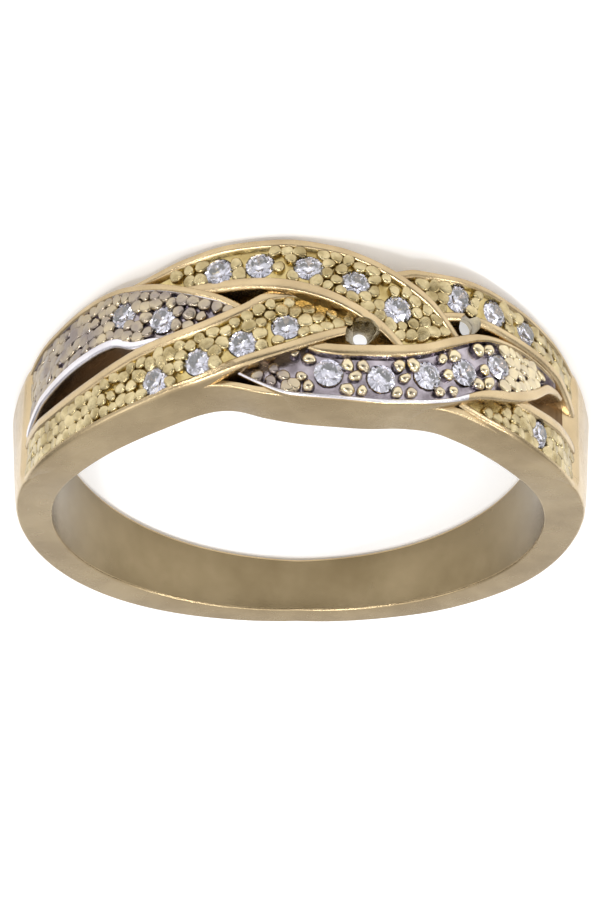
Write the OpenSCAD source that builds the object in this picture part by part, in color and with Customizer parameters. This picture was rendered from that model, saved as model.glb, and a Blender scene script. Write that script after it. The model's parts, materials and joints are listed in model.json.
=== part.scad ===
// Braided band ring, lying on its side with the braid a little raised
// Every place on the ring has three numbers: phi, the angle round the finger from
// the middle of the braid; r, the distance from the finger's axis; and a, the
// distance along that axis, positive on the side that faces up

/* [Finger] */
// Inner diameter of the band
inner_d = 17.3; // [16.5:0.1:18.5]

/* [Shank] */
// Width of the band opposite the braid
shank_w = 2.14; // [1.9:0.02:2.4]
// Thickness of the band opposite the braid
shank_t = 0.95; // [0.85:0.05:1.1]
// How much thicker the band is at the braid's end of the taper
taper_t = 0.6; // [0.5:0.05:0.7]
// Bevel along the outer edges of the side walls
edge_bevel = 0.14; // [0.1:0.01:0.18]

/* [Head] */
// Overall width across the braid
head_w = 6; // [5.8:0.05:6.2]
// Extra thickness that the braid gains in its middle
head_rise = 0.45; // [0.3:0.05:0.55]
// Height of the braid's crown across its width
crown_h = 0.25; // [0.1:0.05:0.3]
// Thickness of the two side walls of the head
rim_t = 0.5; // [0.4:0.05:0.6]
// Distance from the finger to the scooped underside of the braid
scoop_t = 0.45; // [0.4:0.05:0.5]
// Thickness of the web that closes the gaps between the strands
web_t = 0.2; // [0.15:0.05:0.25]

/* [Strands] */
// Width of the polished rail along each edge of a strand
rail_w = 0.38; // [0.3:0.02:0.42]
// Depth of the set field below the rails
field_d = 0.26; // [0.2:0.02:0.3]
// How far the strands stand out over the side walls
ledge = 0.05; // [0.03:0.01:0.06]

/* [Diamonds] */
// Diameter of a diamond across its girdle
stone_d = 0.96; // [0.9:0.01:1]
// Gap between a diamond and its seat
seat_gap = 0.03; // [0.02:0.01:0.04]
// Width of a bead raised from the metal
bead_d = 0.42; // [0.36:0.02:0.44]

/* [Hidden] */
r_in = inner_d / 2;
shank_half = shank_w / 2;
head_half = head_w / 2 - ledge;

gold = [0.83, 0.68, 0.36];
diamond_blue = [0.82, 0.85, 0.93];

// How far round the ring the braid has its full depth, and where it has run out
braid_full = 60;
braid_out = 72;
// How finely the strands and the hoop are drawn, in degrees
station_step = 3;
hoop_step = 5;
hoop_start = -178.7;
// Depth inside the finger bore that is drawn and then cut away
bore_slack = 0.35;
// Distance across the band between the two columns of SWELL
swell_w = 4;
// How far the side walls lie below the strands
rim_sink = 0.22;
// Height of the shank's rounded outer face
dome_h = 0.08;
// Distance from the finger to the foot of the strands, inside the web
strand_foot = 0.4;
// Slope of a strand's outer corner: its depth and its width
corner_h = 0.14;
corner_w = 0.1;
// Width of the slope from a rail down to the field
slope_w = 0.06;

// How far the side walls stand from the middle, as a share of the way from the shank's
// half width (0) to the head's half width (1)
// columns: phi, share of the front wall, share of the back wall
WALL = [
    [-180, 0, 0], [-145, 0.13, 0.10], [-110, 0.34, 0.31], [-80, 0.57, 0.555], [-60, 0.75, 0.735],
    [-45, 0.78, 0.78], [-32, 0.73, 0.75], [-20, 0.61, 0.855], [-14, 0.65, 0.955], [-7, 0.85, 0.99],
    [0, 0.97, 0.985], [7, 1, 0.895], [15, 0.97, 0.67], [23, 0.84, 0.615], [31, 0.75, 0.70],
    [38, 0.76, 0.755], [50, 0.78, 0.78], [60, 0.75, 0.76], [80, 0.57, 0.585], [110, 0.34, 0.31],
    [145, 0.13, 0.10], [180, 0, 0]
];

// Thickness that the band gains or loses on its way round
// columns: phi, gain along the back edge, gain along the front edge
SWELL = [
    [-180, 0.06, 0.06], [-165, 0.08, 0.12], [-150, 0.15, 0.25], [-138, 0.18, 0.27],
    [-125, 0.16, 0.18], [-112, 0.16, 0.04], [-100, 0.20, -0.04], [-90, 0.22, -0.04],
    [-82, 0.15, -0.02], [-74, 0.03, 0], [-65, -0.08, 0], [-56, -0.14, 0], [-46, -0.08, 0],
    [-36, 0, 0], [45, 0.02, 0], [60, 0.04, 0], [68, 0.10, 0.05], [76, 0.22, 0.12],
    [84, 0.32, 0.14], [92, 0.34, 0.08], [100, 0.28, 0.05], [110, 0.20, 0.08],
    [122, 0.15, 0.13], [135, 0.12, 0.12], [148, 0.10, 0.12], [160, 0.05, 0.04], [180, 0.06, 0.06]
];

// The three strands, each with a row for every bend of its edges
// columns: phi, back edge, front edge, lift of the back rail, lift of the front rail
RISING = [
    [-80, 0.40, 2.20, -0.20, -0.20], [-70, 0.56, 2.40, -0.02, -0.02],
    [-54, 0.78, 2.56, 0, 0], [-42, 0.70, 2.58, 0.02, 0], [-29, 0.35, 2.44, 0.10, 0],
    [-18, 0.05, 2.22, 0.15, 0.05], [-10, -0.46, 1.86, 0.12, 0.10], [-6, -0.95, 1.65, -0.02, 0.10],
    [-2, -1.14, 1.42, -0.17, 0.10], [6, -1.45, 0.82, -0.30, 0.02],
    [14, -1.95, 0.20, -0.12, -0.20], [22, -2.35, -0.35, 0.25, -0.25],
    [30, -2.52, -0.80, 0.34, 0], [36, -2.57, -0.90, 0.26, 0.08], [42, -2.60, -0.92, 0.15, 0.08],
    [54, -2.56, -0.95, 0.03, 0.05], [63, -2.46, -0.78, 0, 0.03],
    [72, -2.32, -0.42, -0.03, -0.02], [80, -2.20, -0.15, -0.20, -0.20]
];
WHITE = [
    [-80, -2.20, 0.30, -0.20, -0.20], [-70, -2.36, 0.52, -0.02, -0.02],
    [-56, -2.52, 0.12, 0, 0], [-44, -2.56, -0.08, 0, 0], [-36, -2.43, -0.04, 0.04, 0],
    [-31.5, -2.24, 0.32, 0.07, -0.04],
    [-26, -1.95, 0.40, 0.08, -0.12], [-19, -1.42, 1.05, 0.05, -0.30],
    [-14, -1.05, 1.60, -0.10, -0.32], [-8, -0.40, 2.30, -0.30, -0.26],
    [-2, 0.40, 2.88, -0.28, -0.05], [4, 0.95, 3.02, -0.05, 0],
    [14, 0.90, 3.02, 0.10, 0], [22, 0.55, 2.74, 0.16, 0.05],
    [28, -0.03, 2.42, 0.16, 0.10], [34, -0.58, 1.95, 0.08, 0.15],
    [43, -0.98, 1.40, -0.04, 0.12], [50, -1.10, 0.72, -0.10, 0.06],
    [56, -1.06, -0.05, -0.11, 0], [63, -0.98, -0.45, -0.18, -0.10]
];
FALLING = [
    [-42, -2.52, -1.60, -0.35, -0.35], [-30, -2.48, -1.40, -0.05, -0.30],
    [-19, -2.78, -1.20, 0.17, -0.20], [-9, -3.02, -1.05, 0.18, 0.03],
    [-2, -3.02, -0.85, 0.18, 0.15], [5, -2.92, -0.45, 0.08, 0.20],
    [11, -2.56, 0.10, 0.10, 0.16], [15, -2.25, 0.50, 0.12, 0],
    [19, -1.85, 1.05, 0.15, -0.20], [24, -1.25, 1.60, 0.14, -0.30],
    [29, -0.50, 2.05, -0.05, -0.30], [35, 0.30, 2.35, -0.32, -0.20],
    [42, 0.70, 2.52, -0.28, -0.03], [49, 0.86, 2.58, -0.10, 0],
    [56, 0.80, 2.54, 0, 0], [64, 0.65, 2.44, 0, 0], [72, 0.50, 2.32, -0.03, -0.03],
    [80, 0.40, 2.20, -0.20, -0.20]
];

// Middles of the diamonds on each strand
// columns: phi, a
RISING_STONES = [
    [-26.8, 1.72], [-18.1, 1.42], [-10, 0.98], [-2.4, 0.38], [29.7, -1.66], [38.5, -1.74], [48.3, -1.82]
];
WHITE_STONES = [
    [-34.5, -1.27], [-25.7, -0.58], [5.1, 2.01], [14.6, 2.05], [23.3, 1.62], [31, 1.08], [39.5, 0.25]
];
FALLING_STONES = [[-14.8, -1.98], [-7.2, -2], [1.4, -1.85], [9.7, -1.38], [17.6, -0.66], [53, 1.70]];

// Holes drilled at a slant into the two gaps that light passes
// columns: phi, a and r of the upper end, phi and a at the finger, diameter
DRILLED = [[10.85, 0.64, 10.7, 13.6, -0.56, 0.52], [31.5, -0.70, 10.65, 41.2, -2.2, 0.66]];

// Stretches of a shoulder that have rows of beads and no diamonds
// columns: strand, first phi, last phi
GRAINED = [[RISING, -68, -34], [WHITE, -66, -42], [RISING, 54, 68], [FALLING, 59, 70]];

// Smooth reading of a table: the curve passes every row, with the slope at a row
// taken from its neighbours
function row_before(t, x, i = 0) = i >= len(t) - 2 || x < t[i + 1][0] ? i : row_before(t, x, i + 1);
function slope_at(t, i, c) =
    let (p = max(i - 1, 0), n = min(i + 1, len(t) - 1)) (t[n][c] - t[p][c]) / (t[n][0] - t[p][0]);
function read(t, x, c) =
    let (
        xs = min(max(x, t[0][0]), t[len(t) - 1][0]),
        i = row_before(t, xs),
        w = t[i + 1][0] - t[i][0],
        u = (xs - t[i][0]) / w
    )
    t[i][c] * (2 * u^3 - 3 * u^2 + 1) + slope_at(t, i, c) * w * (u^3 - 2 * u^2 + u)
    + t[i + 1][c] * (3 * u^2 - 2 * u^3) + slope_at(t, i + 1, c) * w * (u^3 - u^2);

function at(phi, r, a) = [-r * sin(phi), -r * cos(phi), a];
function in_head(phi) = min(1, max(0, (braid_out - abs(phi)) / (braid_out - braid_full)));

// How far the side walls stand from the middle
function wall_at(phi, side) = shank_half + (head_half - shank_half) * read(WALL, phi, side);
function front_wall(phi) = wall_at(phi, 1);
function back_wall(phi) = wall_at(phi, 2);

// Outer radius of the band, and of the rails before a strand's own lift
function swell(phi, a) =
    let (u = min(1, max(0, 0.5 + a / swell_w))) read(SWELL, phi, 1) * (1 - u) + read(SWELL, phi, 2) * u;
function band_r(phi, a) =
    r_in + shank_t + taper_t / 2 * (1 + cos(phi))
    + (abs(phi) < 69 ? head_rise * cos(1.3 * phi)^2 : 0) + swell(phi, a);
function rail_r(phi, a) =
    band_r(phi, a) + in_head(phi) * crown_h * (1 - min(1, (2 * a / head_w)^2));

// Edges of a strand, kept on the ledge of the side walls
function ledge_at(phi) = ledge * (2 * in_head(phi) - 1);
function back_edge(t, phi) = max(read(t, phi, 1), -back_wall(phi) - ledge_at(phi));
function front_edge(t, phi) = min(read(t, phi, 2), front_wall(phi) + ledge_at(phi));
function across(t, phi, a) =
    (a - back_edge(t, phi)) / (front_edge(t, phi) - back_edge(t, phi));
function lift(t, phi, a) =
    let (u = across(t, phi, a)) read(t, phi, 3) * (1 - u) + read(t, phi, 4) * u;
function strand_r(t, phi, a) = rail_r(phi, a) + lift(t, phi, a);
function field_r(t, phi, a) = strand_r(t, phi, a) - field_d;

// A closed loft: each section has the same number of points, going the same way round
module loft(sections) {
    n = len(sections[0]);
    m = len(sections);
    polyhedron(
        points = [for (s = sections) each s],
        faces = concat(
            [for (i = [0:m - 2]) for (j = [0:n - 1])
                [i * n + j, (i + 1) * n + j, (i + 1) * n + (j + 1) % n, i * n + (j + 1) % n]],
            [[for (j = [0:n - 1]) j], [for (j = [n - 1:-1:0]) (m - 1) * n + j]]
        ),
        convexity = 12
    );
}

// The same, closed round the finger
module hoop_loft(sections) {
    n = len(sections[0]);
    m = len(sections);
    polyhedron(
        points = [for (s = sections) each s],
        faces = [for (i = [0:m - 1]) for (j = [0:n - 1])
            let (k = (i + 1) % m) [i * n + j, k * n + j, k * n + (j + 1) % n, i * n + (j + 1) % n]],
        convexity = 12
    );
}

// Section of the shank and side walls: full between its edges on the shank, and two
// rims joined by a web under the braid
function hoop_section(phi) =
    let (
        b = -back_wall(phi), f = front_wall(phi), sink = rim_sink * in_head(phi),
        top_b = band_r(phi, b) - sink, top_f = band_r(phi, f) - sink,
        web_r = r_in + scoop_t + web_t, low = r_in - bore_slack,
        floor_b = top_b + (web_r - top_b) * in_head(phi) + dome_h * (1 - in_head(phi)),
        floor_f = top_f + (web_r - top_f) * in_head(phi) + dome_h * (1 - in_head(phi)),
        rim_top = 0.6 * rail_w
    ) [
        at(phi, low, b), at(phi, top_b - edge_bevel, b), at(phi, top_b, b + edge_bevel),
        at(phi, top_b, b + rim_top), at(phi, floor_b, b + rim_t),
        at(phi, floor_f, f - rim_t), at(phi, top_f, f - rim_top),
        at(phi, top_f, f - edge_bevel), at(phi, top_f - edge_bevel, f), at(phi, low, f)
    ];

// A strand that narrows has narrower rails
function rail_at(w) = rail_w * min(1, w / (5.3 * rail_w));

// Section of a strand: a rail at each edge and a sunken field between them
function strand_section(t, phi) =
    let (
        b = back_edge(t, phi), f = front_edge(t, phi),
        rw = rail_at(f - b),
        low = r_in + strand_foot
    ) [
        at(phi, low, b),
        for (p = [[0, -corner_h], [corner_w, 0], [rw - slope_w, 0], [rw, -field_d]])
            at(phi, strand_r(t, phi, b + p[0]) + p[1], b + p[0]),
        at(phi, field_r(t, phi, (b + f) / 2), (b + f) / 2),
        for (p = [[rw, -field_d], [rw - slope_w, 0], [corner_w, 0], [0, -corner_h]])
            at(phi, strand_r(t, phi, f - p[0]) + p[1], f - p[0]),
        at(phi, low, f)
    ];

module strand(t) {
    first = t[0][0];
    last = t[len(t) - 1][0];
    steps = round((last - first) / station_step);
    loft([for (i = [0:steps]) strand_section(t, first + (last - first) * i / steps)]);
}

module hoop() {
    hoop_loft([for (i = [0:360 / hoop_step - 1]) hoop_section(hoop_start + i * hoop_step)]);
}

// The underside of the braid is scooped out between the side walls
module scoop() {
    reach = 62;
    steps = 27;
    inset = rim_t + 0.08;
    loft([for (i = [0:steps])
        let (
            phi = reach * (2 * i / steps - 1),
            r = r_in + scoop_t * min(1, (reach + 2 - abs(phi)) / 8),
            b = -back_wall(phi) + inset, f = front_wall(phi) - inset, low = r_in - 1
        )
        [at(phi, low, b), at(phi, r, b), at(phi, r, f), at(phi, low, f)]]);
}

// Moves its children to a place on a strand, with +Z out of the ring
module on_strand(t, phi, a, r) {
    turn_up = atan2(strand_r(t, phi, a - 0.3) - strand_r(t, phi, a + 0.3), 0.6);
    translate(at(phi, r, a)) rotate([0, 0, -phi]) rotate([90 - turn_up, 0, 0]) rotate([0, 0, 90]) children();
}

// True where no other strand covers a bead of this one or comes close to it
function beside(t, other, phi, a) =
    t == other || phi < other[0][0] || phi > other[len(other) - 1][0]
    || a < back_edge(other, phi) - bead_d / 2 || a > front_edge(other, phi) + bead_d / 2;
function uncovered(t, phi, a) =
    beside(t, RISING, phi, a) && beside(t, WHITE, phi, a) && beside(t, FALLING, phi, a);
function in_field(t, phi, a) =
    let (b = back_edge(t, phi), f = front_edge(t, phi), m = rail_at(f - b) + 0.55 * bead_d)
    a > b + m && a < f - m;

module bead(t, phi, a) {
    if (in_field(t, phi, a) && uncovered(t, phi, a))
        on_strand(t, phi, a, field_r(t, phi, a) - 0.04)
            cylinder(h = 0.6 * field_d, d1 = bead_d, d2 = bead_d / 2, $fn = 6);
}

// Four beads hold each diamond, one at each corner
module corner_beads(t, stones) {
    out = (stone_d / 2 + seat_gap + 0.55 * bead_d) / sqrt(2);
    for (s = stones) for (i = [-1, 1]) for (j = [-1, 1]) {
        bead(t, s[0] + i * out / band_r(s[0], s[1]) * 180 / PI, s[1] + j * out);
    }
}

// Rows of beads between the rails of a shoulder
module grain(t, first, last) {
    pitch = 1.3 * bead_d / band_r(first, 0) * 180 / PI;
    for (i = [0:floor((last - first) / pitch)]) {
        phi = first + i * pitch;
        b = back_edge(t, phi) + rail_at(front_edge(t, phi) - back_edge(t, phi));
        f = front_edge(t, phi) + back_edge(t, phi) - b;
        n = floor((f - b) / (1.1 * bead_d));
        if (n > 0) for (k = [1:n]) bead(t, phi, b + (f - b) * (k - 0.5) / n);
    }
}

// A single cut diamond: an octagonal table, a sixteen sided girdle and a pavilion
// that runs to a point
crown_t = 0.14;
girdle_t = 0.03;
pavilion_t = 0.36;
stone_sink = 0.10;
table_share = 0.6;
module cut_stone() {
    d = stone_d;
    top = [for (k = [0:7]) [table_share * d / 2 * cos(45 * k), table_share * d / 2 * sin(45 * k), crown_t]];
    rim = [for (z = [0, -girdle_t]) for (k = [0:15]) [d / 2 * cos(22.5 * k), d / 2 * sin(22.5 * k), z]];
    polyhedron(
        points = concat(top, rim, [[0, 0, -girdle_t - pavilion_t]]),
        faces = concat(
            [[for (k = [7:-1:0]) k]],
            [for (k = [0:7]) [k, (k + 1) % 8, 8 + 2 * k + 1]],
            [for (k = [0:7]) [k, 8 + 2 * k + 1, 8 + 2 * k]],
            [for (k = [0:7]) [k, 8 + 2 * k, 8 + (2 * k + 15) % 16]],
            [for (k = [0:15]) [8 + k, 8 + (k + 1) % 16, 24 + (k + 1) % 16, 24 + k]],
            [for (k = [0:15]) [24 + k, 24 + (k + 1) % 16, 40]]
        )
    );
}

module place_stone(t, s) {
    on_strand(t, s[0], s[1], field_r(t, s[0], s[1]) + stone_sink) children();
}

// The seat is a cone under the diamond's pavilion, open above its girdle
module seat() {
    d = stone_d + 2 * seat_gap;
    deep = girdle_t + seat_gap;
    rotate_extrude($fn = 16) polygon([
        [0, -deep - pavilion_t], [d / 2, -deep], [d / 2, field_d + 0.3], [0, field_d + 0.3]
    ]);
}

// A round hole from one point to another
module drill(from, to, d) {
    run = to - from;
    translate(from) rotate([0, acos(run[2] / norm(run)), atan2(run[1], run[0])])
        cylinder(h = norm(run), d = d, $fn = 16);
}

module metal() {
    difference() {
        union() {
            hoop();
            strand(RISING);
            strand(WHITE);
            strand(FALLING);
            corner_beads(RISING, RISING_STONES);
            corner_beads(WHITE, WHITE_STONES);
            corner_beads(FALLING, FALLING_STONES);
            for (g = GRAINED) grain(g[0], g[1], g[2]);
        }
        scoop();
        for (s = RISING_STONES) place_stone(RISING, s) seat();
        for (s = WHITE_STONES) place_stone(WHITE, s) seat();
        for (s = FALLING_STONES) place_stone(FALLING, s) seat();
        for (h = DRILLED) drill(at(h[3], r_in - bore_slack, h[4]), at(h[0], h[2], h[1]), h[5]);
    }
}

// How the ring lies: on the widest place of the braid's back edge and on the two
// places of the tapering wall at rest_phi, so that the braid's end is raised
rest_phi = -161;
rest_half = back_wall(rest_phi);
rest_drop = head_w / 2 - rest_half;
rest_span = r_in + strand_foot - (band_r(rest_phi, -rest_half) - edge_bevel) * cos(rest_phi);
rest_tilt = atan(rest_drop / rest_span);
rest_lift = head_w / 2 * cos(rest_tilt) - (r_in + strand_foot) * sin(rest_tilt);
crest_phi = 5;
crest_a = front_edge(FALLING, crest_phi);
head_reach = strand_r(FALLING, crest_phi, crest_a) * cos(rest_tilt) - crest_a * sin(rest_tilt);
dome_a = shank_half - rim_t;
shank_reach = (band_r(180, dome_a) + dome_h) * cos(rest_tilt) + dome_a * sin(rest_tilt);
side_shift = (band_r(90, -back_wall(90)) - band_r(-90, -back_wall(-90))) / 2;
rest_place = [side_shift, (head_reach - shank_reach) / 2, rest_lift];
module at_rest() {
    translate(rest_place) rotate([-rest_tilt, 0, 0]) children();
}

module band() {
    color(gold) at_rest() difference() {
        resize([0, 0, head_w]) metal();
        cylinder(h = 2 * head_w, r = r_in, center = true, $fn = 192);
    }
}

module diamond(t, s) {
    color(diamond_blue) at_rest() place_stone(t, s) cut_stone();
}
module diamond_rising(i) { diamond(RISING, RISING_STONES[i - 1]); }
module diamond_white(i) { diamond(WHITE, WHITE_STONES[i - 1]); }
module diamond_falling(i) { diamond(FALLING, FALLING_STONES[i - 1]); }

band();
for (i = [1:len(RISING_STONES)])
    diamond_rising(i);
for (i = [1:len(WHITE_STONES)])
    diamond_white(i);
for (i = [1:len(FALLING_STONES)])
    diamond_falling(i);
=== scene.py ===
"""Looks of the braided band ring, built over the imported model.

Places on the ring have three numbers, as in the CAD source: phi, the angle round the
finger from the middle of the braid; r, the distance from the finger's axis; and a, the
distance along that axis. Sizes are in millimetres until a point is placed in the scene.
"""
import bpy
import json
import math
import random
from mathutils import Matrix, Vector


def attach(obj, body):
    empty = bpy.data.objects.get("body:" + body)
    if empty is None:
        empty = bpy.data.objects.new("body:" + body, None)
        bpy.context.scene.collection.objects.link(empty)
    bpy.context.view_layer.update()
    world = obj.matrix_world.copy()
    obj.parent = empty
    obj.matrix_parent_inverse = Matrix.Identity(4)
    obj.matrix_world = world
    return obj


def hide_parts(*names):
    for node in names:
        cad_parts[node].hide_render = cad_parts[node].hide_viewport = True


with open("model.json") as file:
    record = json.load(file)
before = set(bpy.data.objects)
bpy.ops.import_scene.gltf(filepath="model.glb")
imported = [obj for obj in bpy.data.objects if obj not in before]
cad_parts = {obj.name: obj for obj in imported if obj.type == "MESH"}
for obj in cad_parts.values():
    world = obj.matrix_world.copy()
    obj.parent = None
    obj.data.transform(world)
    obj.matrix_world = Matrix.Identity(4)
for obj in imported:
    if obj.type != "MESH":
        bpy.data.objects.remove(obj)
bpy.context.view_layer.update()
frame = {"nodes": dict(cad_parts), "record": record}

MM = 0.001

# The band's driving sizes
R_IN = 8.65
SHANK_HALF = 1.07
SHANK_T = 0.95
TAPER_T = 0.6
HEAD_W = 6.0
LEDGE = 0.05
HEAD_HALF = HEAD_W / 2 - LEDGE
HEAD_RISE = 0.45
CROWN_H = 0.25
RIM_T = 0.5
SCOOP_T = 0.45
WEB_T = 0.2
RAIL_W = 0.38
FIELD_D = 0.26
# The head's shape is gone by HEAD_GONE degrees, and grows over HEAD_FADE degrees
BRAID_END = 80
HEAD_GONE = BRAID_END - 8
HEAD_FADE = 12
# The head's rise is a squared cosine of RISE_RATE times phi, which ends about here
RISE_RATE = 1.3
RISE_END = 69
SWELL_W = 4.0
RIM_SINK = 0.22
DOME_H = 0.08
STONE_D = 0.96

# How the ring lies, from the finger bore that the record states
BORE = frame["record"]["mounts"][0]
TILT = math.atan2(BORE["axis"][1], BORE["axis"][2])
CENTRE = Vector(BORE["pos_m"])

# How far the side walls stand from the middle, as a share from the shank to the head
# columns: phi, share of the front wall, share of the back wall
WALL = [
    (-180, 0, 0), (-145, 0.13, 0.10), (-110, 0.34, 0.31), (-80, 0.57, 0.555), (-60, 0.75, 0.735),
    (-45, 0.78, 0.78), (-32, 0.73, 0.75), (-20, 0.61, 0.855), (-14, 0.65, 0.955), (-7, 0.85, 0.99),
    (0, 0.97, 0.985), (7, 1, 0.895), (15, 0.97, 0.67), (23, 0.84, 0.615), (31, 0.75, 0.70),
    (38, 0.76, 0.755), (50, 0.78, 0.78), (60, 0.75, 0.76), (80, 0.57, 0.585), (110, 0.34, 0.31),
    (145, 0.13, 0.10), (180, 0, 0),
]
# Thickness that the band gains or loses on its way round
# columns: phi, gain along the back edge, gain along the front edge
SWELL = [
    (-180, 0.06, 0.06), (-165, 0.08, 0.12), (-150, 0.15, 0.25), (-138, 0.18, 0.27),
    (-125, 0.16, 0.18), (-112, 0.16, 0.04), (-100, 0.20, -0.04), (-90, 0.22, -0.04),
    (-82, 0.15, -0.02), (-74, 0.03, 0), (-65, -0.08, 0), (-56, -0.14, 0), (-46, -0.08, 0),
    (-36, 0, 0), (45, 0.02, 0), (60, 0.04, 0), (68, 0.10, 0.05), (76, 0.22, 0.12),
    (84, 0.32, 0.14), (92, 0.34, 0.08), (100, 0.28, 0.05), (110, 0.20, 0.08),
    (122, 0.15, 0.13), (135, 0.12, 0.12), (148, 0.10, 0.12), (160, 0.05, 0.04), (180, 0.06, 0.06),
]
# The strands
# columns: phi, back edge, front edge, lift of the back rail, lift of the front rail
RISING = [
    (-80, 0.40, 2.20, -0.20, -0.20), (-70, 0.56, 2.40, -0.02, -0.02),
    (-54, 0.78, 2.56, 0, 0), (-42, 0.70, 2.58, 0.02, 0), (-29, 0.35, 2.44, 0.10, 0),
    (-18, 0.05, 2.22, 0.15, 0.05), (-10, -0.46, 1.86, 0.12, 0.10), (-6, -0.95, 1.65, -0.02, 0.10),
    (-2, -1.14, 1.42, -0.17, 0.10), (6, -1.45, 0.82, -0.30, 0.02),
    (14, -1.95, 0.20, -0.12, -0.20), (22, -2.35, -0.35, 0.25, -0.25),
    (30, -2.52, -0.80, 0.34, 0), (36, -2.57, -0.90, 0.26, 0.08), (42, -2.60, -0.92, 0.15, 0.08),
    (54, -2.56, -0.95, 0.03, 0.05), (63, -2.46, -0.78, 0, 0.03),
    (72, -2.32, -0.42, -0.03, -0.02), (80, -2.20, -0.15, -0.20, -0.20),
]
WHITE = [
    (-80, -2.20, 0.30, -0.20, -0.20), (-70, -2.36, 0.52, -0.02, -0.02),
    (-56, -2.52, 0.12, 0, 0), (-44, -2.56, -0.08, 0, 0), (-36, -2.43, -0.04, 0.04, 0),
    (-31.5, -2.24, 0.32, 0.07, -0.04),
    (-26, -1.95, 0.40, 0.08, -0.12), (-19, -1.42, 1.05, 0.05, -0.30),
    (-14, -1.05, 1.60, -0.10, -0.32), (-8, -0.40, 2.30, -0.30, -0.26),
    (-2, 0.40, 2.88, -0.28, -0.05), (4, 0.95, 3.02, -0.05, 0),
    (14, 0.90, 3.02, 0.10, 0), (22, 0.55, 2.74, 0.16, 0.05),
    (28, -0.03, 2.42, 0.16, 0.10), (34, -0.58, 1.95, 0.08, 0.15),
    (43, -0.98, 1.40, -0.04, 0.12), (50, -1.10, 0.72, -0.10, 0.06),
    (56, -1.06, -0.05, -0.11, 0), (63, -0.98, -0.45, -0.18, -0.10),
]
FALLING = [
    (-42, -2.52, -1.60, -0.35, -0.35), (-30, -2.48, -1.40, -0.05, -0.30),
    (-19, -2.78, -1.20, 0.17, -0.20), (-9, -3.02, -1.05, 0.18, 0.03),
    (-2, -3.02, -0.85, 0.18, 0.15), (5, -2.92, -0.45, 0.08, 0.20),
    (11, -2.56, 0.10, 0.10, 0.16), (15, -2.25, 0.50, 0.12, 0),
    (19, -1.85, 1.05, 0.15, -0.20), (24, -1.25, 1.60, 0.14, -0.30),
    (29, -0.50, 2.05, -0.05, -0.30), (35, 0.30, 2.35, -0.32, -0.20),
    (42, 0.70, 2.52, -0.28, -0.03), (49, 0.86, 2.58, -0.10, 0),
    (56, 0.80, 2.54, 0, 0), (64, 0.65, 2.44, 0, 0), (72, 0.50, 2.32, -0.03, -0.03),
    (80, 0.40, 2.20, -0.20, -0.20),
]
STRANDS = {"rising": RISING, "white": WHITE, "falling": FALLING}

# Middles of the diamonds on each strand
# columns: phi, a
STONES = {
    "rising": [(-26.8, 1.72), (-18.1, 1.42), (-10, 0.98), (-2.4, 0.38), (29.7, -1.66), (38.5, -1.74),
               (48.3, -1.82)],
    "white": [(-34.5, -1.27), (-25.7, -0.58), (5.1, 2.01), (14.6, 2.05), (23.3, 1.62), (31, 1.08),
              (39.5, 0.25)],
    "falling": [(-14.8, -1.98), (-7.2, -2), (1.4, -1.85), (9.7, -1.38), (17.6, -0.66), (53, 1.70)],
}

# Holes drilled at a slant into the two gaps that light passes
# columns: phi, a and r of the upper end, phi and a at the finger, diameter, countersink
DRILLED = [(10.85, 0.64, 10.7, 13.6, -0.56, 0.50, 1.15),
           (31.5, -0.70, 10.65, 41.2, -2.2, 0.66, 0.75)]

# Widths of the polished rails of each strand
# columns: phi, back rail, front rail
RAILS = {
    "rising": [(-80, 0.40, 0.24), (-24, 0.40, 0.24), (-12, 0.40, 0.38), (14, 0.38, 0.38),
               (26, 0.28, 0.34), (80, 0.28, 0.34)],
    "white": [(-80, 0.30, 0.30), (-66, 0.30, 0.36), (-36, 0.30, 0.36), (-28, 0.32, 0.30),
              (-14, 0.32, 0.18), (0, 0.40, 0.18), (28, 0.42, 0.20), (38, 0.26, 0.40),
              (63, 0.26, 0.42)],
    "falling": [(-42, 0.30, 0.40), (16, 0.36, 0.44), (34, 0.40, 0.24), (80, 0.40, 0.24)],
}
# How broad the bevel of a front rail is, as a multiple of the plain one
# columns: phi, multiple
BEVELS = {
    "rising": [(-80, 1.8), (-14, 2.2), (-4, 1.2), (30, 1), (36, 2.4), (80, 2.4)],
    "white": [(-80, 1), (63, 1)],
    "falling": [(-42, 1), (28, 1), (40, 1.8), (80, 1.8)],
}
# The two rails and their slopes together take no more than this share of a strand
RAILS_SHARE = 0.72
RAILS_SLOPES = 0.16
# Depth of the set field below the rails, which is less than the FIELD_D that the
# diamonds' places are worked out from
FIELD_DEEP = {"rising": 0.18, "white": 0.23, "falling": 0.18}


# Reading of the tables

def read(table, x, column):
    """Smooth reading: the curve passes every row, with the slope taken from its neighbours."""
    x = min(max(x, table[0][0]), table[-1][0])
    i = 0
    while i < len(table) - 2 and x >= table[i + 1][0]:
        i += 1

    def slope(k):
        p, n = max(k - 1, 0), min(k + 1, len(table) - 1)
        return (table[n][column] - table[p][column]) / (table[n][0] - table[p][0])

    w = table[i + 1][0] - table[i][0]
    u = (x - table[i][0]) / w
    return (table[i][column] * (2 * u**3 - 3 * u**2 + 1) + slope(i) * w * (u**3 - 2 * u**2 + u)
            + table[i + 1][column] * (3 * u**2 - 2 * u**3) + slope(i + 1) * w * (u**3 - u**2))


def at(phi, r, a):
    p = math.radians(phi)
    return Vector((-r * math.sin(p), -r * math.cos(p), a))


def in_head(phi):
    """Share of the head's shape: 1 in the braid and 0 in the shank."""
    return min(1.0, max(0.0, (HEAD_GONE - abs(phi)) / HEAD_FADE))


def front_wall(phi):
    return SHANK_HALF + (HEAD_HALF - SHANK_HALF) * read(WALL, phi, 1)


def back_wall(phi):
    return SHANK_HALF + (HEAD_HALF - SHANK_HALF) * read(WALL, phi, 2)


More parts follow.
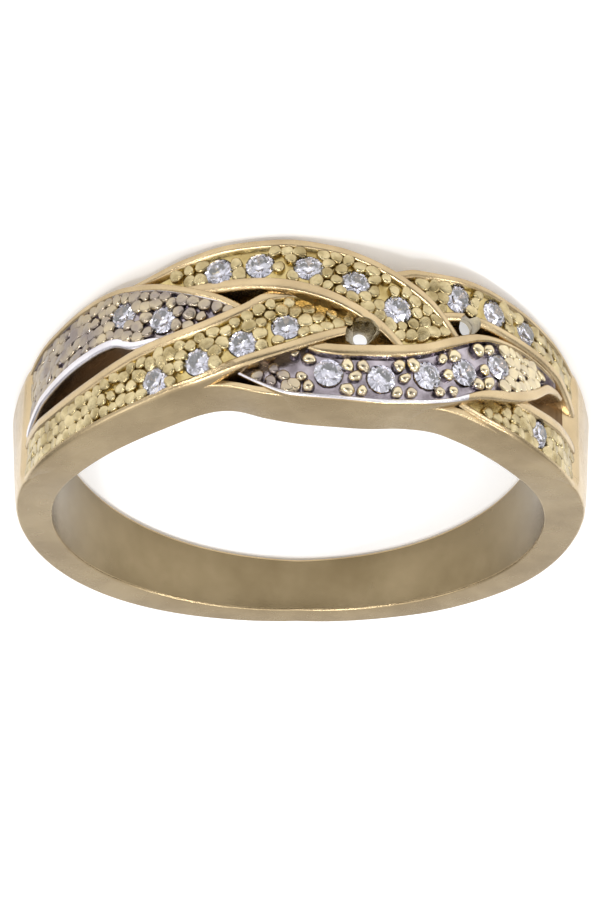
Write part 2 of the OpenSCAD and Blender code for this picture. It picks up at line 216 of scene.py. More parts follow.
def band_r(phi, a):
    rise = HEAD_RISE * math.cos(math.radians(RISE_RATE * phi))**2 if abs(phi) < RISE_END else 0
    u = min(1, max(0, 0.5 + a / SWELL_W))
    swell = read(SWELL, phi, 1) * (1 - u) + read(SWELL, phi, 2) * u
    return R_IN + SHANK_T + TAPER_T / 2 * (1 + math.cos(math.radians(phi))) + rise + swell


def rail_r(phi, a):
    return band_r(phi, a) + in_head(phi) * CROWN_H * (1 - min(1, (2 * a / HEAD_W)**2))


def edges(table, phi):
    """Back and front edge of a strand, kept on the ledge of the side walls."""
    ledge = LEDGE * (2 * in_head(phi) - 1)
    return (max(read(table, phi, 1), -back_wall(phi) - ledge),
            min(read(table, phi, 2), front_wall(phi) + ledge))


def strand_r(table, phi, a):
    b, f = edges(table, phi)
    u = (a - b) / (f - b)
    return rail_r(phi, a) + read(table, phi, 3) * (1 - u) + read(table, phi, 4) * u


def rails(name, phi):
    """Widths of the two rails; a strand that narrows has narrower rails."""
    b, f = edges(STRANDS[name], phi)
    back, front = read(RAILS[name], phi, 1), read(RAILS[name], phi, 2)
    share = min(1, RAILS_SHARE * (f - b) / (back + front + RAILS_SLOPES))
    return back * share, front * share


# Mesh helpers

REST = (Matrix.Translation(CENTRE) @ Matrix.Rotation(-TILT, 4, "X")
        @ Matrix.Diagonal((MM, MM, MM, 1)))


def mesh_object(name, points, faces, material_of, materials, sharp_deg=40):
    mesh = bpy.data.meshes.new(name)
    mesh.from_pydata([tuple(p) for p in points], [], faces)
    for m in materials:
        mesh.materials.append(m)
    mesh.polygons.foreach_set("material_index", [material_of(i) for i in range(len(faces))])
    mesh.update()
    obj = bpy.data.objects.new(name, mesh)
    bpy.context.scene.collection.objects.link(obj)
    smooth(mesh, sharp_deg)
    return obj


def smooth(mesh, sharp_deg):
    mesh.polygons.foreach_set("use_smooth", [True] * len(mesh.polygons))
    mesh.set_sharp_from_angle(angle=math.radians(sharp_deg))
    mesh.update()


def loft(sections, closed):
    """Points and faces through sections of equal length; each section is a closed outline."""
    n, m = len(sections[0]), len(sections)
    points = [p for s in sections for p in s]
    faces = []
    for i in range(m if closed else m - 1):
        k = (i + 1) % m
        for j in range(n):
            q = (j + 1) % n
            faces.append((i * n + j, i * n + q, k * n + q, k * n + j))
    if not closed:
        faces.append(tuple(range(n - 1, -1, -1)))
        faces.append(tuple((m - 1) * n + j for j in range(n)))
    return points, faces


def cut(obj, cutters, sharp_deg=40):
    """Takes the cutters out of obj and deletes them."""
    for c in cutters:
        step = obj.modifiers.new("cut", "BOOLEAN")
        step.operation = "DIFFERENCE"
        step.solver = "MANIFOLD"
        step.object = c
    shaped = bpy.data.meshes.new_from_object(
        obj.evaluated_get(bpy.context.evaluated_depsgraph_get()))
    obj.modifiers.clear()
    old, obj.data = obj.data, shaped
    bpy.data.meshes.remove(old)
    for c in cutters:
        mesh = c.data
        bpy.data.objects.remove(c)
        bpy.data.meshes.remove(mesh)
    smooth(obj.data, sharp_deg)


def to_rest(obj):
    obj.data.transform(REST)
    obj.data.update()


# Materials

def shader(name, base, roughness, metallic=1.0):
    mat = bpy.data.materials.new(name)
    mat.use_nodes = True
    node = mat.node_tree.nodes["Principled BSDF"]
    node.inputs["Base Color"].default_value = (*base, 1)
    node.inputs["Roughness"].default_value = roughness
    node.inputs["Metallic"].default_value = metallic
    return mat, node


def add(owner, kind, **values):
    """New node of a material or world, with its sockets or settings given by name."""
    node = owner.node_tree.nodes.new(kind)
    for key, value in values.items():
        if key in node.inputs:
            node.inputs[key].default_value = value
        else:
            setattr(node, key, value)
    return node


def link(owner, source, target):
    owner.node_tree.links.new(source, target)


def noise(mat, coords, per_mm, detail=4.0, roughness=0.55):
    node = add(mat, "ShaderNodeTexNoise", Scale=per_mm / MM, Detail=detail, Roughness=roughness)
    link(mat, coords, node.inputs["Vector"])
    return node.outputs["Fac"]


def ramp(owner, fac, stops):
    node = add(owner, "ShaderNodeValToRGB")
    link(owner, fac, node.inputs["Fac"])
    points = node.color_ramp.elements
    while len(points) < len(stops):
        points.new(0.5)
    for point, (place, colour) in zip(points, stops):
        point.position = place
        point.color = (*colour, 1)
    return node.outputs["Color"]


def worn_metal(name, dark, light, smooth_r, rough_r, patch=0.5, bump=0.02, grain=14):
    """Metal with patches of two tones, uneven gloss and fine scratches."""
    mat, node = shader(name, light, smooth_r)
    coords = add(mat, "ShaderNodeTexCoord").outputs["Object"]
    tone = noise(mat, coords, patch)
    link(mat, ramp(mat, tone, [(0.35, dark), (0.65, light)]), node.inputs["Base Color"])
    gloss = noise(mat, coords, 2.5 * patch, detail=6.0, roughness=0.7)
    link(mat, ramp(mat, gloss, [(0.3, (smooth_r,) * 3), (0.75, (rough_r,) * 3)]),
         node.inputs["Roughness"])
    fine = noise(mat, coords, grain, detail=5.0, roughness=0.65)
    lift = add(mat, "ShaderNodeBump", Strength=0.35, Distance=bump * MM)
    link(mat, fine, lift.inputs["Height"])
    link(mat, lift.outputs["Normal"], node.inputs["Normal"])
    return mat


GOLD = worn_metal("gold_polished", (0.45, 0.34, 0.195), (0.58, 0.45, 0.265), 0.15, 0.34)
# The inner gold is darker than the outer gold: painted shade, standing in for the shade and dim
# reflections inside the ring.
GOLD_INSIDE_PAINTED_SHADE = worn_metal("gold_inside_painted_shade", (0.20, 0.15, 0.08), (0.29, 0.225, 0.13), 0.12, 0.30,
                         patch=0.25)
GOLD_FIELD = worn_metal("gold_field", (0.33, 0.24, 0.09), (0.56, 0.45, 0.21), 0.16, 0.32,
                        patch=1.6, bump=0.03, grain=7)
# A dark copy of the gold: painted shade for the recessed bed under the strands.
GOLD_PAINTED_SHADE = worn_metal("gold_painted_shade", (0.10, 0.06, 0.03), (0.24, 0.15, 0.07), 0.35, 0.55)
GOLD_BEAD = worn_metal("gold_bead", (0.31, 0.24, 0.115), (0.60, 0.50, 0.29), 0.12, 0.36,
                       patch=1.8, bump=0.035)
RHODIUM = worn_metal("rhodium_field", (0.18, 0.155, 0.17), (0.44, 0.395, 0.43), 0.12, 0.28,
                     patch=1.6, bump=0.03, grain=7)
RHODIUM_WORN = worn_metal("rhodium_worn", (0.24, 0.21, 0.25), (0.46, 0.40, 0.38), 0.14, 0.32,
                          patch=1.1, bump=0.03, grain=7)
RHODIUM_POLISHED = worn_metal("rhodium_polished", (0.62, 0.59, 0.62), (0.84, 0.81, 0.84),
                              0.12, 0.24)
BEAD_WORN = worn_metal("bead_worn", (0.26, 0.22, 0.20), (0.48, 0.40, 0.27), 0.12, 0.32,
                       patch=1.1)
BEAD_PALE = worn_metal("bead_pale", (0.50, 0.42, 0.30), (0.72, 0.62, 0.40), 0.10, 0.28,
                       patch=1.4)
# The seats under the diamonds are painted shade: dark tones seen through the stones, grey-lilac
# under the gold strands and darker brownish grey under the white one.
SEAT_PAINTED_SHADE = worn_metal("seat_grey_painted_shade", (0.08, 0.075, 0.10), (0.30, 0.28, 0.36), 0.15, 0.35, patch=2.5)
SEAT_DARK_PAINTED_SHADE = worn_metal("seat_dark_painted_shade", (0.03, 0.025, 0.025), (0.22, 0.19, 0.20), 0.15, 0.35,
                       patch=2.5)


def diamond_material():
    mat, node = shader("diamond_cut", (0.84, 0.83, 0.95), 0.01, 0.0)
    node.inputs["IOR"].default_value = 2.4
    node.inputs["Transmission Weight"].default_value = 1.0
    return mat


DIAMOND = diamond_material()


# The shank and the side walls

HOOP_STEP = 1.0
CORNER_OUT = 0.13
CORNER_IN = 0.09
ARC_STEPS = 4
# Largest share of a side that the arc at its end takes
ARC_SHARE = 0.45
# Width of a side wall's top, and the share of the shank's dome that it reaches there
RIM_TOP = 0.6 * RAIL_W
DOME_EDGE = 0.5
# The bed under the strands has painted shade, a dark copy of the gold, where the head has grown
# to this share, but keeps the plain field gold within this angle from the middle
BED_SHADE_SHARE = 0.4
BED_UNSHADED_ANGLE = 20


def rounded(corners):
    """Outline through corners given as (r, a, radius), with arcs of ARC_STEPS steps."""
    out = []
    for i, (r, a, radius) in enumerate(corners):
        here = Vector((r, a))
        before = Vector(corners[i - 1][:2]) - here
        after = Vector(corners[(i + 1) % len(corners)][:2]) - here
        if radius == 0:
            out.append(here)
            continue
        reach = min(radius, before.length * ARC_SHARE, after.length * ARC_SHARE)
        p, q = here + before.normalized() * reach, here + after.normalized() * reach
        for k in range(ARC_STEPS + 1):
            t = k / ARC_STEPS
            out.append(p * (1 - t)**2 + here * 2 * t * (1 - t) + q * t**2)
    return out


def hoop_section(phi):
    b, f = -back_wall(phi), front_wall(phi)
    share = in_head(phi)
    top_b, top_f = band_r(phi, b) - RIM_SINK * share, band_r(phi, f) - RIM_SINK * share
    web_r = R_IN + SCOOP_T + WEB_T
    dome = DOME_H * (1 - share)
    bed_b, bed_f = (top + (web_r - top) * share + dome for top in (top_b, top_f))
    outline = rounded([
        (R_IN, b, CORNER_IN), (top_b, b, CORNER_OUT),
        (top_b + dome * DOME_EDGE, b + RIM_TOP, 0), (bed_b, b + RIM_T, 0),
        (bed_f, f - RIM_T, 0), (top_f + dome * DOME_EDGE, f - RIM_TOP, 0),
        (top_f, f, CORNER_OUT), (R_IN, f, CORNER_IN),
    ])
    return [at(phi, p[0], p[1]) for p in outline]


def hoop():
    """The shank with its side walls. The bed's three faces follow the back wall's two arcs,
    and the last face of a section is the one at the finger. Where the head has grown, away from its
    middle, the bed has painted shade, and the face at the finger has the darker inner gold, which is
    painted shade too."""
    count = round(360 / HOOP_STEP)
    points, faces = loft([hoop_section(-180 + i * HOOP_STEP) for i in range(count)], True)
    n = len(points) // count
    bed_start = 2 * (ARC_STEPS + 1)
    bed = range(bed_start, bed_start + 3)

    def material_of(i):
        j = i % n
        phi = -180 + i // n * HOOP_STEP
        if j in bed and in_head(phi) > BED_SHADE_SHARE:
            return 2 if abs(phi) > BED_UNSHADED_ANGLE else 3
        return 1 if j == n - 1 else 0

    return mesh_object("shank", points, faces, material_of,
                       [GOLD, GOLD_INSIDE_PAINTED_SHADE, GOLD_PAINTED_SHADE, GOLD_FIELD])


# Reach of the scoop to each side in degrees, and the stretch over which it grows shallower.
# That stretch would end SCOOP_PAST degrees later, so the scoop stops at a low step
SCOOP_REACH = 62
SCOOP_STEPS = 62
SCOOP_FADE = 8
SCOOP_PAST = 2
SCOOP_INSET = RIM_T + 0.08
# Distance that its cutter reaches into the finger's opening
SCOOP_CLEAR = 1


def scoop():
    sections = []
    inner = R_IN - SCOOP_CLEAR
    for i in range(SCOOP_STEPS + 1):
        phi = SCOOP_REACH * (2 * i / SCOOP_STEPS - 1)
        r = R_IN + SCOOP_T * min(1, (SCOOP_REACH + SCOOP_PAST - abs(phi)) / SCOOP_FADE)
        b, f = -back_wall(phi) + SCOOP_INSET, front_wall(phi) - SCOOP_INSET
        sections.append([at(phi, inner, b), at(phi, r, b), at(phi, r, f), at(phi, inner, f)])
    points, faces = loft(sections, False)
    # The scoop's cutter is given the darker inner gold, which is painted shade.
    return mesh_object("scoop", points, faces, lambda i: 0, [GOLD_INSIDE_PAINTED_SHADE])


# The strands of the braid

STRAND_STEP = 0.75
# Profile of a rail: its outer corner, its inner corner, and the slope down to the field
# columns: distance from the edge, height over the rail's top
RAIL_OUT = [(0, -0.17), (0.012, -0.085), (0.035, -0.035), (0.075, -0.006)]
# columns: distance from the rail's inner side, height over the rail's top
RAIL_IN = [(-0.055, -0.002), (-0.025, -0.022), (0, -0.065)]
# columns: distance from the rail's inner side, height as a share of the field's depth
RAIL_FOOT = [(0.03, -0.6), (0.07, -1)]
# Width of a rail that its two plain corners just fill
RAIL_CORNERS = 0.17
# The rail's crest: its height, its place as a share of the width, and how far a broader
# bevel moves it
CREST_H = 0.010
CREST_PLACE = 0.5
CREST_SHIFT = 0.08
FIELD_POINTS = 8
# How far the foot of a strand lies inside its edges
STRAND_TUCK = 0.06

# Plating of the white strand, by phi: its front rail is polished up to the first angle, the
# outer side of that rail up to the second, and its field is worn up to the third
FRONT_POLISHED_TO = 31
SIDE_POLISHED_TO = -30
FIELD_WORN_TO = -20
# The inner corner of its back rail is polished between these
BACK_POLISHED = (-38, -12)
# Last faces of a strand's section: its outer corner, its outer side and its underside
SIDE_FACES = 4


def rail_profile(width, deep, bevel=1):
    """Rows of distance and height from a strand's edge to the floor of its field."""
    fit = min(bevel, width / RAIL_CORNERS)
    return ([(d * fit, h) for d, h in RAIL_OUT]
            + [(width * (CREST_PLACE + CREST_SHIFT * bevel), CREST_H)]
            + [(width + d * fit, h) for d, h in RAIL_IN]
            + [(width + d, h * deep) for d, h in RAIL_FOOT])


def strand_section(name, phi):
    table, deep = STRANDS[name], FIELD_DEEP[name]
    b, f = edges(table, phi)
    back_w, front_w = rails(name, phi)
    back = rail_profile(back_w, deep)
    front = rail_profile(front_w, deep, read(BEVELS[name], phi, 1))
    low = R_IN + SCOOP_T + 0.5 * WEB_T
    out = [at(phi, low, b + STRAND_TUCK)]
    out += [at(phi, strand_r(table, phi, b + d) + h, b + d) for d, h in back]
    start, stop = b + back[-1][0], f - front[-1][0]
    for k in range(1, FIELD_POINTS):
        a = start + (stop - start) * k / FIELD_POINTS
        out.append(at(phi, strand_r(table, phi, a) - deep, a))
    out += [at(phi, strand_r(table, phi, f - d) + h, f - d) for d, h in reversed(front)]
    out.append(at(phi, low, f - STRAND_TUCK))
    return out


def strand(name):
    table = STRANDS[name]
    first, last = table[0][0], table[-1][0]
    steps = round((last - first) / STRAND_STEP)
    angles = [first + (last - first) * i / steps for i in range(steps + 1)]
    points, faces = loft([strand_section(name, phi) for phi in angles], False)
    n = len(points) // len(angles)
    rail = len(rail_profile(1, 1))
    foot = len(RAIL_FOOT)
    front_start = rail + FIELD_POINTS
    field = range(rail - foot, front_start + foot)
    back_corner = range(rail - len(RAIL_IN), rail + 1)

    def polished(j, phi):
        front_end = n if phi < SIDE_POLISHED_TO else n - SIDE_FACES
        if front_start <= j < front_end and phi < FRONT_POLISHED_TO:
            return True
        return j in back_corner and BACK_POLISHED[0] < phi < BACK_POLISHED[1]

    def material_of(i):
        if i >= len(faces) - 2:
            return 0
        j, phi = i % n, angles[i // n]
        if name == "white" and polished(j, phi):
            return 2
        if j in field:
            return 3 if name == "white" and phi < FIELD_WORN_TO else 1
        return 0

    if name == "white":
        return mesh_object("strand_white", points, faces, material_of,
                           [GOLD, RHODIUM, RHODIUM_POLISHED, RHODIUM_WORN])
    return mesh_object("strand_" + name, points, faces, material_of, [GOLD, GOLD_FIELD])


# Places on a strand

# Distance to each side at which a strand's slope is taken
PROBE = 0.3


def on_strand(table, phi, a, r):
    """Matrix that puts +Z out of the ring at a place on a strand."""
    turn_up = math.atan2(strand_r(table, phi, a - PROBE) - strand_r(table, phi, a + PROBE),
                         2 * PROBE)
    return (Matrix.Translation(at(phi, r, a)) @ Matrix.Rotation(math.radians(-phi), 4, "Z")
            @ Matrix.Rotation(math.pi / 2 - turn_up, 4, "X") @ Matrix.Rotation(math.pi / 2, 4, "Z"))


def lathe(profile, sides, matrix):
    """Points and faces of a turned shape from (radius, height) rows, closed at both ends."""
    points, faces = [], []
    for radius, z in profile:
        for k in range(sides):
            t = 2 * math.pi * k / sides
            points.append(matrix @ Vector((radius * math.cos(t), radius * math.sin(t), z)))
    for i in range(len(profile) - 1):
        for k in range(sides):
            q = (k + 1) % sides
            faces.append((i * sides + k, i * sides + q, (i + 1) * sides + q, (i + 1) * sides + k))
    faces.append(tuple(range(sides - 1, -1, -1)))
    faces.append(tuple((len(profile) - 1) * sides + k for k in range(sides)))
    return points, faces


def add_shape(points, faces, more_points, more_faces):
    """Adds one shape to the points and faces of a mesh that holds several."""
    start = len(points)
    faces.extend(tuple(start + k for k in face) for face in more_faces)
    points.extend(more_points)


# The diamonds' seats, each a cone under the pavilion that is open above the girdle
GIRDLE_T = 0.03
PAVILION_T = 0.36
STONE_SINK = 0.10
SEAT_GAP = 0.03
SEAT_TIP = 0.02
SEAT_OPEN = 0.3
CUTTER_SIDES = 32

# How far a drill reaches past its two ends, and the shares of its run between which it
# widens to the countersink
DRILL_UNDER = 0.4
DRILL_OVER = 0.3
SINK_FROM = 0.52
SINK_TO = 0.85


def seats(name):
    table = STRANDS[name]
    points, faces = [], []
    d = STONE_D + 2 * SEAT_GAP
    deep = GIRDLE_T + SEAT_GAP
    profile = [(SEAT_TIP, -deep - PAVILION_T), (d / 2, -deep), (d / 2, FIELD_D + SEAT_OPEN)]
    for phi, a in STONES[name]:
        m = on_strand(table, phi, a, strand_r(table, phi, a) - FIELD_D + STONE_SINK)
        add_shape(points, faces, *lathe(profile, CUTTER_SIDES, m))
    # The seat's material is painted shade under the diamonds.
    return mesh_object("seats_" + name, points, faces, lambda i: 0,
                       [SEAT_DARK_PAINTED_SHADE if name == "white" else SEAT_PAINTED_SHADE])


def drills():
    points, faces = [], []
    for phi, a, r, phi_in, a_in, d, wide in DRILLED:
        start, end = at(phi_in, R_IN - DRILL_UNDER, a_in), at(phi, r + DRILL_OVER, a)
        run = end - start
        m = Matrix.Translation(start) @ run.to_track_quat("Z", "Y").to_matrix().to_4x4()
        profile = [(d / 2, 0), (d / 2, run.length * SINK_FROM), (wide / 2, run.length * SINK_TO),
                   (wide / 2, run.length)]
        add_shape(points, faces, *lathe(profile, CUTTER_SIDES, m))
    return mesh_object("drills", points, faces, lambda i: 0, [GOLD_FIELD])


# Beads

# Profiles of the flat and the domed beads
# columns: radius as a share of the bead's width, height as a share of the field's depth
BEAD = [(0.50, -0.4), (0.53, 0.10), (0.515, 0.50), (0.475, 0.78), (0.41, 0.93), (0.33, 0.985),
        (0.17, 1.0), (0.05, 0.99)]
BEAD_DOMED = [(0.50, -0.4), (0.51, 0.15), (0.48, 0.52), (0.42, 0.80), (0.33, 1.0), (0.22, 1.13),
              (0.11, 1.2), (0.03, 1.22)]
BEAD_SIDES = 14
BEAD_D = 0.48
BEAD_PITCH = 0.44
STONE_CLEAR = 0.64

# Places are spread out flat at this radius, as a distance along the strand and a
MEAN_R = 10.4
TO_PHI = math.degrees(1 / MEAN_R)

# Rows of beads: how far the first row lies from a strand's end in degrees, the distance of
# a bead's middle from the rails, what is added before the count in a row is rounded down,
# how far a place is moved at random, and the step from row to row
ROWS_START = 9
RAIL_CLEAR = 0.36 * BEAD_D
COUNT_EXTRA = 1.35
PLACE_JITTER = 0.05
ROW_STEP = BEAD_PITCH * 0.98
# The rounds of pushing apart, and how far along the list a bead's neighbours are sought
PUSH_ROUNDS = 24
NEAR = 14
# A bead is kept from this many degrees inside a strand's ends, at these distances from a
# covering strand, a diamond and its neighbours
KEEP_FROM = 8
COVER_CLEAR = 0.3 * BEAD_D
STONE_KEEP = 0.92 * STONE_CLEAR
BEAD_KEEP = 0.78 * BEAD_PITCH
# How far a strand stands over a place before it counts as covering it
COVER_RISE = 0.05

# The white strand has domed beads between these angles, set about its diamonds. Their row
# starts at a place left of the middle that has no diamond. Each group has two pairs at this
# angle from its middle, at these distances from the rails, and one bead in the middle
DOMED = (-1, 40)
DOMED_START = (-4.5, 2.2)
PAIR_ANGLE = 1.35
PAIR_BACK = 0.30
PAIR_FRONT = 0.28
MIDDLE_FORWARD = 0.05


def is_domed(name, phi):
    return name == "white" and DOMED[0] < phi < DOMED[1]


def covered(name, phi, a, margin):
    """True where another strand lies over or right beside a place of this one."""
    r = strand_r(STRANDS[name], phi, a) - FIELD_DEEP[name]
    for other, rows in STRANDS.items():
        if other == name or not rows[0][0] <= phi <= rows[-1][0]:
            continue
        b, f = edges(rows, phi)
        over = strand_r(rows, phi, min(max(a, b), f)) > r + COVER_RISE
        if b - margin < a < f + margin and over:
            return True
    return False


def domed_places():
    """Places of the domed beads between the diamonds of the white strand: a pair along
    each rail and one in the middle."""
    stones = [DOMED_START] + [s for s in STONES["white"] if s[0] > 0]
    places = []
    for (p0, a0), (p1, a1) in zip(stones, stones[1:]):
        phi = (p0 + p1) / 2
        for d in (-PAIR_ANGLE, PAIR_ANGLE):
            b, f = edges(WHITE, phi + d)
            back, front = rails("white", phi + d)
            places += [(phi + d, b + back + PAIR_BACK), (phi + d, f - front - PAIR_FRONT)]
        places.append((phi, (a0 + a1) / 2 + MIDDLE_FORWARD))
    return [(phi, a, strand_r(WHITE, phi, a)) for phi, a in places]


def bead_limits(name, phi):
    """Least and greatest a of a bead's middle between the rails."""
    b, f = edges(STRANDS[name], phi)
    back, front = rails(name, phi)
    lo, hi = b + back + RAIL_CLEAR, f - front - RAIL_CLEAR
    return (lo, hi) if hi > lo else ((lo + hi) / 2,) * 2


def bead_rows(name):
    """Rows of places across the field, with every other place half a pitch further on."""
    table = STRANDS[name]
    rng = random.Random("places " + name)
    spots = []
    s = math.radians(table[0][0] + ROWS_START) * MEAN_R
    last = math.radians(table[-1][0] - ROWS_START) * MEAN_R
    while s < last:
        lo, hi = bead_limits(name, s * TO_PHI)
        count = int((hi - lo) / BEAD_PITCH + COUNT_EXTRA)
        for k in range(count):
            a = (lo + hi) / 2 if count == 1 else lo + (hi - lo) * k / (count - 1)
            along = (s + (0.5 * BEAD_PITCH if k % 2 else 0)
                     + rng.uniform(-PLACE_JITTER, PLACE_JITTER))
            spots.append([along, a + rng.uniform(-PLACE_JITTER, PLACE_JITTER)])
        s += ROW_STEP
    return spots


def push_apart(name, spots, stones):
    """Moves the places off each other and off the diamonds, and back between the rails."""
    for _ in range(PUSH_ROUNDS):
        for i, p in enumerate(spots):
            for q in spots[i + 1:i + NEAR]:
                ds, da = q[0] - p[0], q[1] - p[1]
                gap = math.hypot(ds, da)
                if 1e-6 < gap < BEAD_PITCH:
                    push = 0.5 * (BEAD_PITCH - gap) / gap
                    p[0], p[1] = p[0] - ds * push, p[1] - da * push
                    q[0], q[1] = q[0] + ds * push, q[1] + da * push
            for x, a in stones:
                ds, da = p[0] - x, p[1] - a
                gap = math.hypot(ds, da)
                if 1e-6 < gap < STONE_CLEAR:
                    p[0], p[1] = x + ds * STONE_CLEAR / gap, a + da * STONE_CLEAR / gap
            lo, hi = bead_limits(name, p[0] * TO_PHI)
            p[1] = min(max(p[1], lo), hi)


def bead_places(name):
    """Close packed places for the beads, as phi, a and r, where the strand is bare."""
    table = STRANDS[name]
    stones = [(math.radians(p) * MEAN_R, a) for p, a in STONES[name]]
    spots = bead_rows(name)
    push_apart(name, spots, stones)
    kept = []
    for x, a in sorted(spots):
        phi = x * TO_PHI
        if not table[0][0] + KEEP_FROM < phi < table[-1][0] - KEEP_FROM:
            continue
        if covered(name, phi, a, COVER_CLEAR) or is_domed(name, phi):
            continue
        if any(math.hypot(x - u, a - v) < STONE_KEEP for u, v in stones):
            continue
        if all(math.hypot(x - q[3], a - q[1]) > BEAD_KEEP for q in kept[-NEAR:]):
            kept.append((phi, a, strand_r(table, phi, a), x))
    return [q[:3] for q in kept] + (domed_places() if name == "white" else [])


# Upper end of the random shift of each lump round a bead, about a full turn
LUMP_TURN = 6.28
# Angle from the middle at which wear starts, and the angle over which it grows to its full
WEAR_FROM = 38
WEAR_SPAN = 12
# What full wear adds to a bead's width and takes from its height
WEAR_WIDER = 0.10
WEAR_LOWER = 0.30
# Largest lean of a bead to each side, in degrees
BEAD_LEAN = 12


def lumpy(points, rng):
    """Points of a turned shape with its round outline made uneven."""
    two, three, five = (rng.uniform(0, LUMP_TURN) for _ in range(3))
    out = []
    for p in points:
        t = math.atan2(p.y, p.x)
        k = (1 + 0.07 * math.cos(2 * t + two) + 0.06 * math.cos(3 * t + three)
             + 0.035 * math.cos(5 * t + five))
        out.append(Vector((p.x * k, p.y * k, p.z)))
    return out


def bead(phi, a, r, table, deep, profile, rng):
    """Points and faces of one bead that stands on the field."""
    worn = min(1, max(0, (abs(phi) - WEAR_FROM) / WEAR_SPAN))
    size = BEAD_D * rng.uniform(0.80, 1.10) * (1 + WEAR_WIDER * worn)
    height = deep * rng.uniform(0.84, 1.10) * (1 - WEAR_LOWER * worn)
    m = (on_strand(table, phi, a, r - deep)
         @ Matrix.Rotation(math.radians(rng.uniform(-BEAD_LEAN, BEAD_LEAN)), 4, "X")
         @ Matrix.Rotation(math.radians(rng.uniform(-BEAD_LEAN, BEAD_LEAN)), 4, "Y")
         @ Matrix.Rotation(rng.uniform(0, math.pi), 4, "Z")
         @ Matrix.Diagonal((rng.uniform(0.96, 1.14), rng.uniform(0.90, 1.02), 1, 1)))
    turned, faces = lathe([(size * rad * rng.uniform(0.98, 1.02), height * z)
                           for rad, z in profile], BEAD_SIDES, Matrix.Identity(4))
    return [m @ q for q in lumpy(turned, rng)], faces


def beads(name):
    """All beads of a strand. The two lowest rings of faces have the field's material, and the
    white strand's beads are worn on its left half and pale on its right one."""
    rng = random.Random(name)
    points, faces, kinds = [], [], []
    for phi, a, r in bead_places(name):
        profile = BEAD_DOMED if is_domed(name, phi) else BEAD
        p, f = bead(phi, a, r, STRANDS[name], FIELD_DEEP[name], profile, rng)
        add_shape(points, faces, p, f)
        tip = 0
        if name == "white":
            tip = 2 if phi < 0 else 3
        kinds += [1 if k < 2 * BEAD_SIDES else tip for k in range(len(f))]
    side = RHODIUM if name == "white" else GOLD_FIELD
    return mesh_object("beads_" + name, points, faces, lambda i: kinds[i],
                       [GOLD_BEAD, side, BEAD_WORN, BEAD_PALE], sharp_deg=50)


# The dressed pieces

def finish_piece(obj):
    to_rest(obj)
    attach(obj, "root")
    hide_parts("band")


def build_band():
    shank = hoop()
    cut(shank, [scoop(), drills()] + [seats(name) for name in STRANDS])
    pieces = [shank]
    for name in STRANDS:
        body = strand(name)
        cut(body, [seats(other) for other in STRANDS] + [drills()])
        pieces += [body, beads(name)]
    for obj in pieces:
        finish_piece(obj)


def dress_diamonds():
    for name, node in frame["nodes"].items():
        if name.startswith("diamond"):
            node.data.materials.clear()
            node.data.materials.append(DIAMOND)


# Camera, floor and light

VIEW_FROM = 28.75      # degrees above the ring's plane
DISTANCE = 120.0
LENS = 135.1
ROLL = -0.6
# Place that the camera is aimed at, from the middle of the finger bore
AIM_RIGHT, AIM_UP = 0.057, 0.867
# Nearest and farthest that it sees, in metres
CLIP = (0.01, 10)


def camera():
    """Stands above the floor with its own up side turned down, because the photograph looks
    at the ring from below its plane."""
    rise = math.radians(VIEW_FROM)
    turn = Matrix.Rotation(-TILT, 3, "X")
    back = turn @ Vector((0, -math.cos(rise), math.sin(rise)))
    up = turn @ Vector((0, -math.sin(rise), -math.cos(rise)))
    right = up.cross(back)
    roll = math.radians(ROLL)
    right, up = (right * math.cos(roll) - up * math.sin(roll),
                 up * math.cos(roll) + right * math.sin(roll))
    eye = CENTRE + back * DISTANCE * MM
    aim = CENTRE + (right * AIM_RIGHT + up * AIM_UP) * MM
    back = (eye - aim).normalized()
    right = up.cross(back).normalized()
    up = back.cross(right)
    data = bpy.data.cameras.new("camera")
    data.lens = LENS
    data.clip_start, data.clip_end = CLIP
    cam = bpy.data.objects.new("camera", data)
    cam.matrix_world = Matrix.Translation(eye) @ Matrix((right, up, back)).transposed().to_4x4()
    bpy.context.scene.collection.objects.link(cam)
    bpy.context.scene.camera = cam


# The floor's half width and how far it lies below the ring, in metres
FLOOR_HALF = 1.5
FLOOR_DROP = 0.00002
FLOOR_GLOW = 0.22


def floor():
    mesh = bpy.data.meshes.new("floor")
    s = FLOOR_HALF
    mesh.from_pydata([(-s, -s, 0), (s, -s, 0), (s, s, 0), (-s, s, 0)], [], [(0, 1, 2, 3)])
    mat, node = shader("floor_pale", (0.92, 0.92, 0.92), 0.6, 0.0)
    node.inputs["Emission Color"].default_value = (1, 1, 1, 1)
    node.inputs["Emission Strength"].default_value = FLOOR_GLOW
    mesh.materials.append(mat)
    obj = bpy.data.objects.new("floor", mesh)
    obj.location.z = -FLOOR_DROP
    bpy.context.scene.collection.objects.link(obj)


# Brightness of the pale tent round the ring
# columns: sine of the angle above the horizon, brightness
TENT = [(0.0, 0.55), (0.20, 0.80), (0.45, 0.80), (0.62, 0.60), (0.80, 0.85), (1.0, 1.0)]
TENT_BLUE = 1.01
# Darker and brighter places of the tent; the first lies on the camera's side
# columns: degrees round and degrees up, half width in degrees, share of the tent's light
PLACES = [((180, 24), 22, 0.18), ((60, 20), 30, 0.55), ((-75, 12), 26, 0.6), ((150, 62), 14, 2.6),
          ((215, 50), 12, 2.4), ((180, 86), 14, 2.2), ((90, 42), 20, 2.6), ((-90, 42), 18, 2.2)]
# Share of a place's half width within which it has its full effect
PLACE_CORE = 0.45
# Lamps, all aimed at the ring
# columns: name, place, width and height, watts
LAMPS = [("key", (70, -110, 170), (30, 20), 0.11), ("left", (-150, -70, 80), (20, 30), 0.05),
         ("right", (-90, 40, 180), (30, 14), 0.06), ("low", (120, -140, 60), (14, 24), 0.04)]


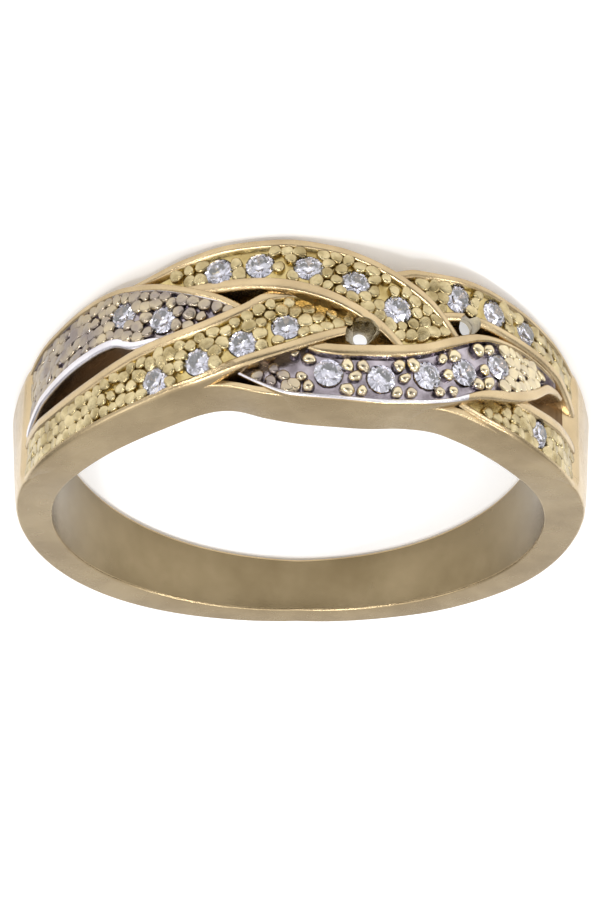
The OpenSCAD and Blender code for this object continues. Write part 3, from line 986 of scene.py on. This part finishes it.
def area_light(name, place_mm, size_mm, watts):
    data = bpy.data.lights.new(name, "AREA")
    data.shape = "RECTANGLE"
    data.size, data.size_y = size_mm[0] * MM, size_mm[1] * MM
    data.energy = watts
    obj = bpy.data.objects.new(name, data)
    obj.location = Vector(place_mm) * MM
    obj.rotation_euler = (Vector(place_mm) * MM - CENTRE).to_track_quat("Z", "Y").to_euler()
    bpy.context.scene.collection.objects.link(obj)


def direction(degrees_round, degrees_up):
    """Unit vector towards a place in the surroundings; 0 degrees round is +Y, 90 is +X."""
    t, u = math.radians(degrees_round), math.radians(degrees_up)
    return (math.sin(t) * math.cos(u), math.cos(t) * math.cos(u), math.sin(u))


def tent_colour(world):
    """Light of the tent by direction: a ramp by height, with soft places on it."""
    where = add(world, "ShaderNodeTexCoord").outputs["Generated"]
    height = add(world, "ShaderNodeSeparateXYZ")
    link(world, where, height.inputs[0])
    colour = ramp(world, height.outputs["Z"], [(z, (t, t, t * TENT_BLUE)) for z, t in TENT])
    for (round_deg, up_deg), wide, share in PLACES:
        near = add(world, "ShaderNodeVectorMath", operation="DOT_PRODUCT")
        near.inputs[1].default_value = direction(round_deg, up_deg)
        link(world, where, near.inputs[0])
        shade = add(world, "ShaderNodeMapRange", interpolation_type="SMOOTHSTEP")
        shade.inputs["From Min"].default_value = math.cos(math.radians(wide))
        shade.inputs["From Max"].default_value = math.cos(math.radians(wide * PLACE_CORE))
        shade.inputs["To Min"].default_value = 1.0
        shade.inputs["To Max"].default_value = share
        link(world, near.outputs["Value"], shade.inputs["Value"])
        both = add(world, "ShaderNodeVectorMath", operation="SCALE")
        link(world, colour, both.inputs[0])
        link(world, shade.outputs["Result"], both.inputs["Scale"])
        colour = both.outputs["Vector"]
    return colour


def lights():
    world = bpy.data.worlds.new("studio")
    world.use_nodes = True
    background = world.node_tree.nodes["Background"]
    link(world, tent_colour(world), background.inputs["Color"])
    background.inputs["Strength"].default_value = 1.0
    bpy.context.scene.world = world
    for name, place_mm, size_mm, watts in LAMPS:
        area_light(name, place_mm, size_mm, watts)
    bpy.context.scene.view_settings.view_transform = "Standard"


build_band()
dress_diamonds()
camera()
floor()
lights()
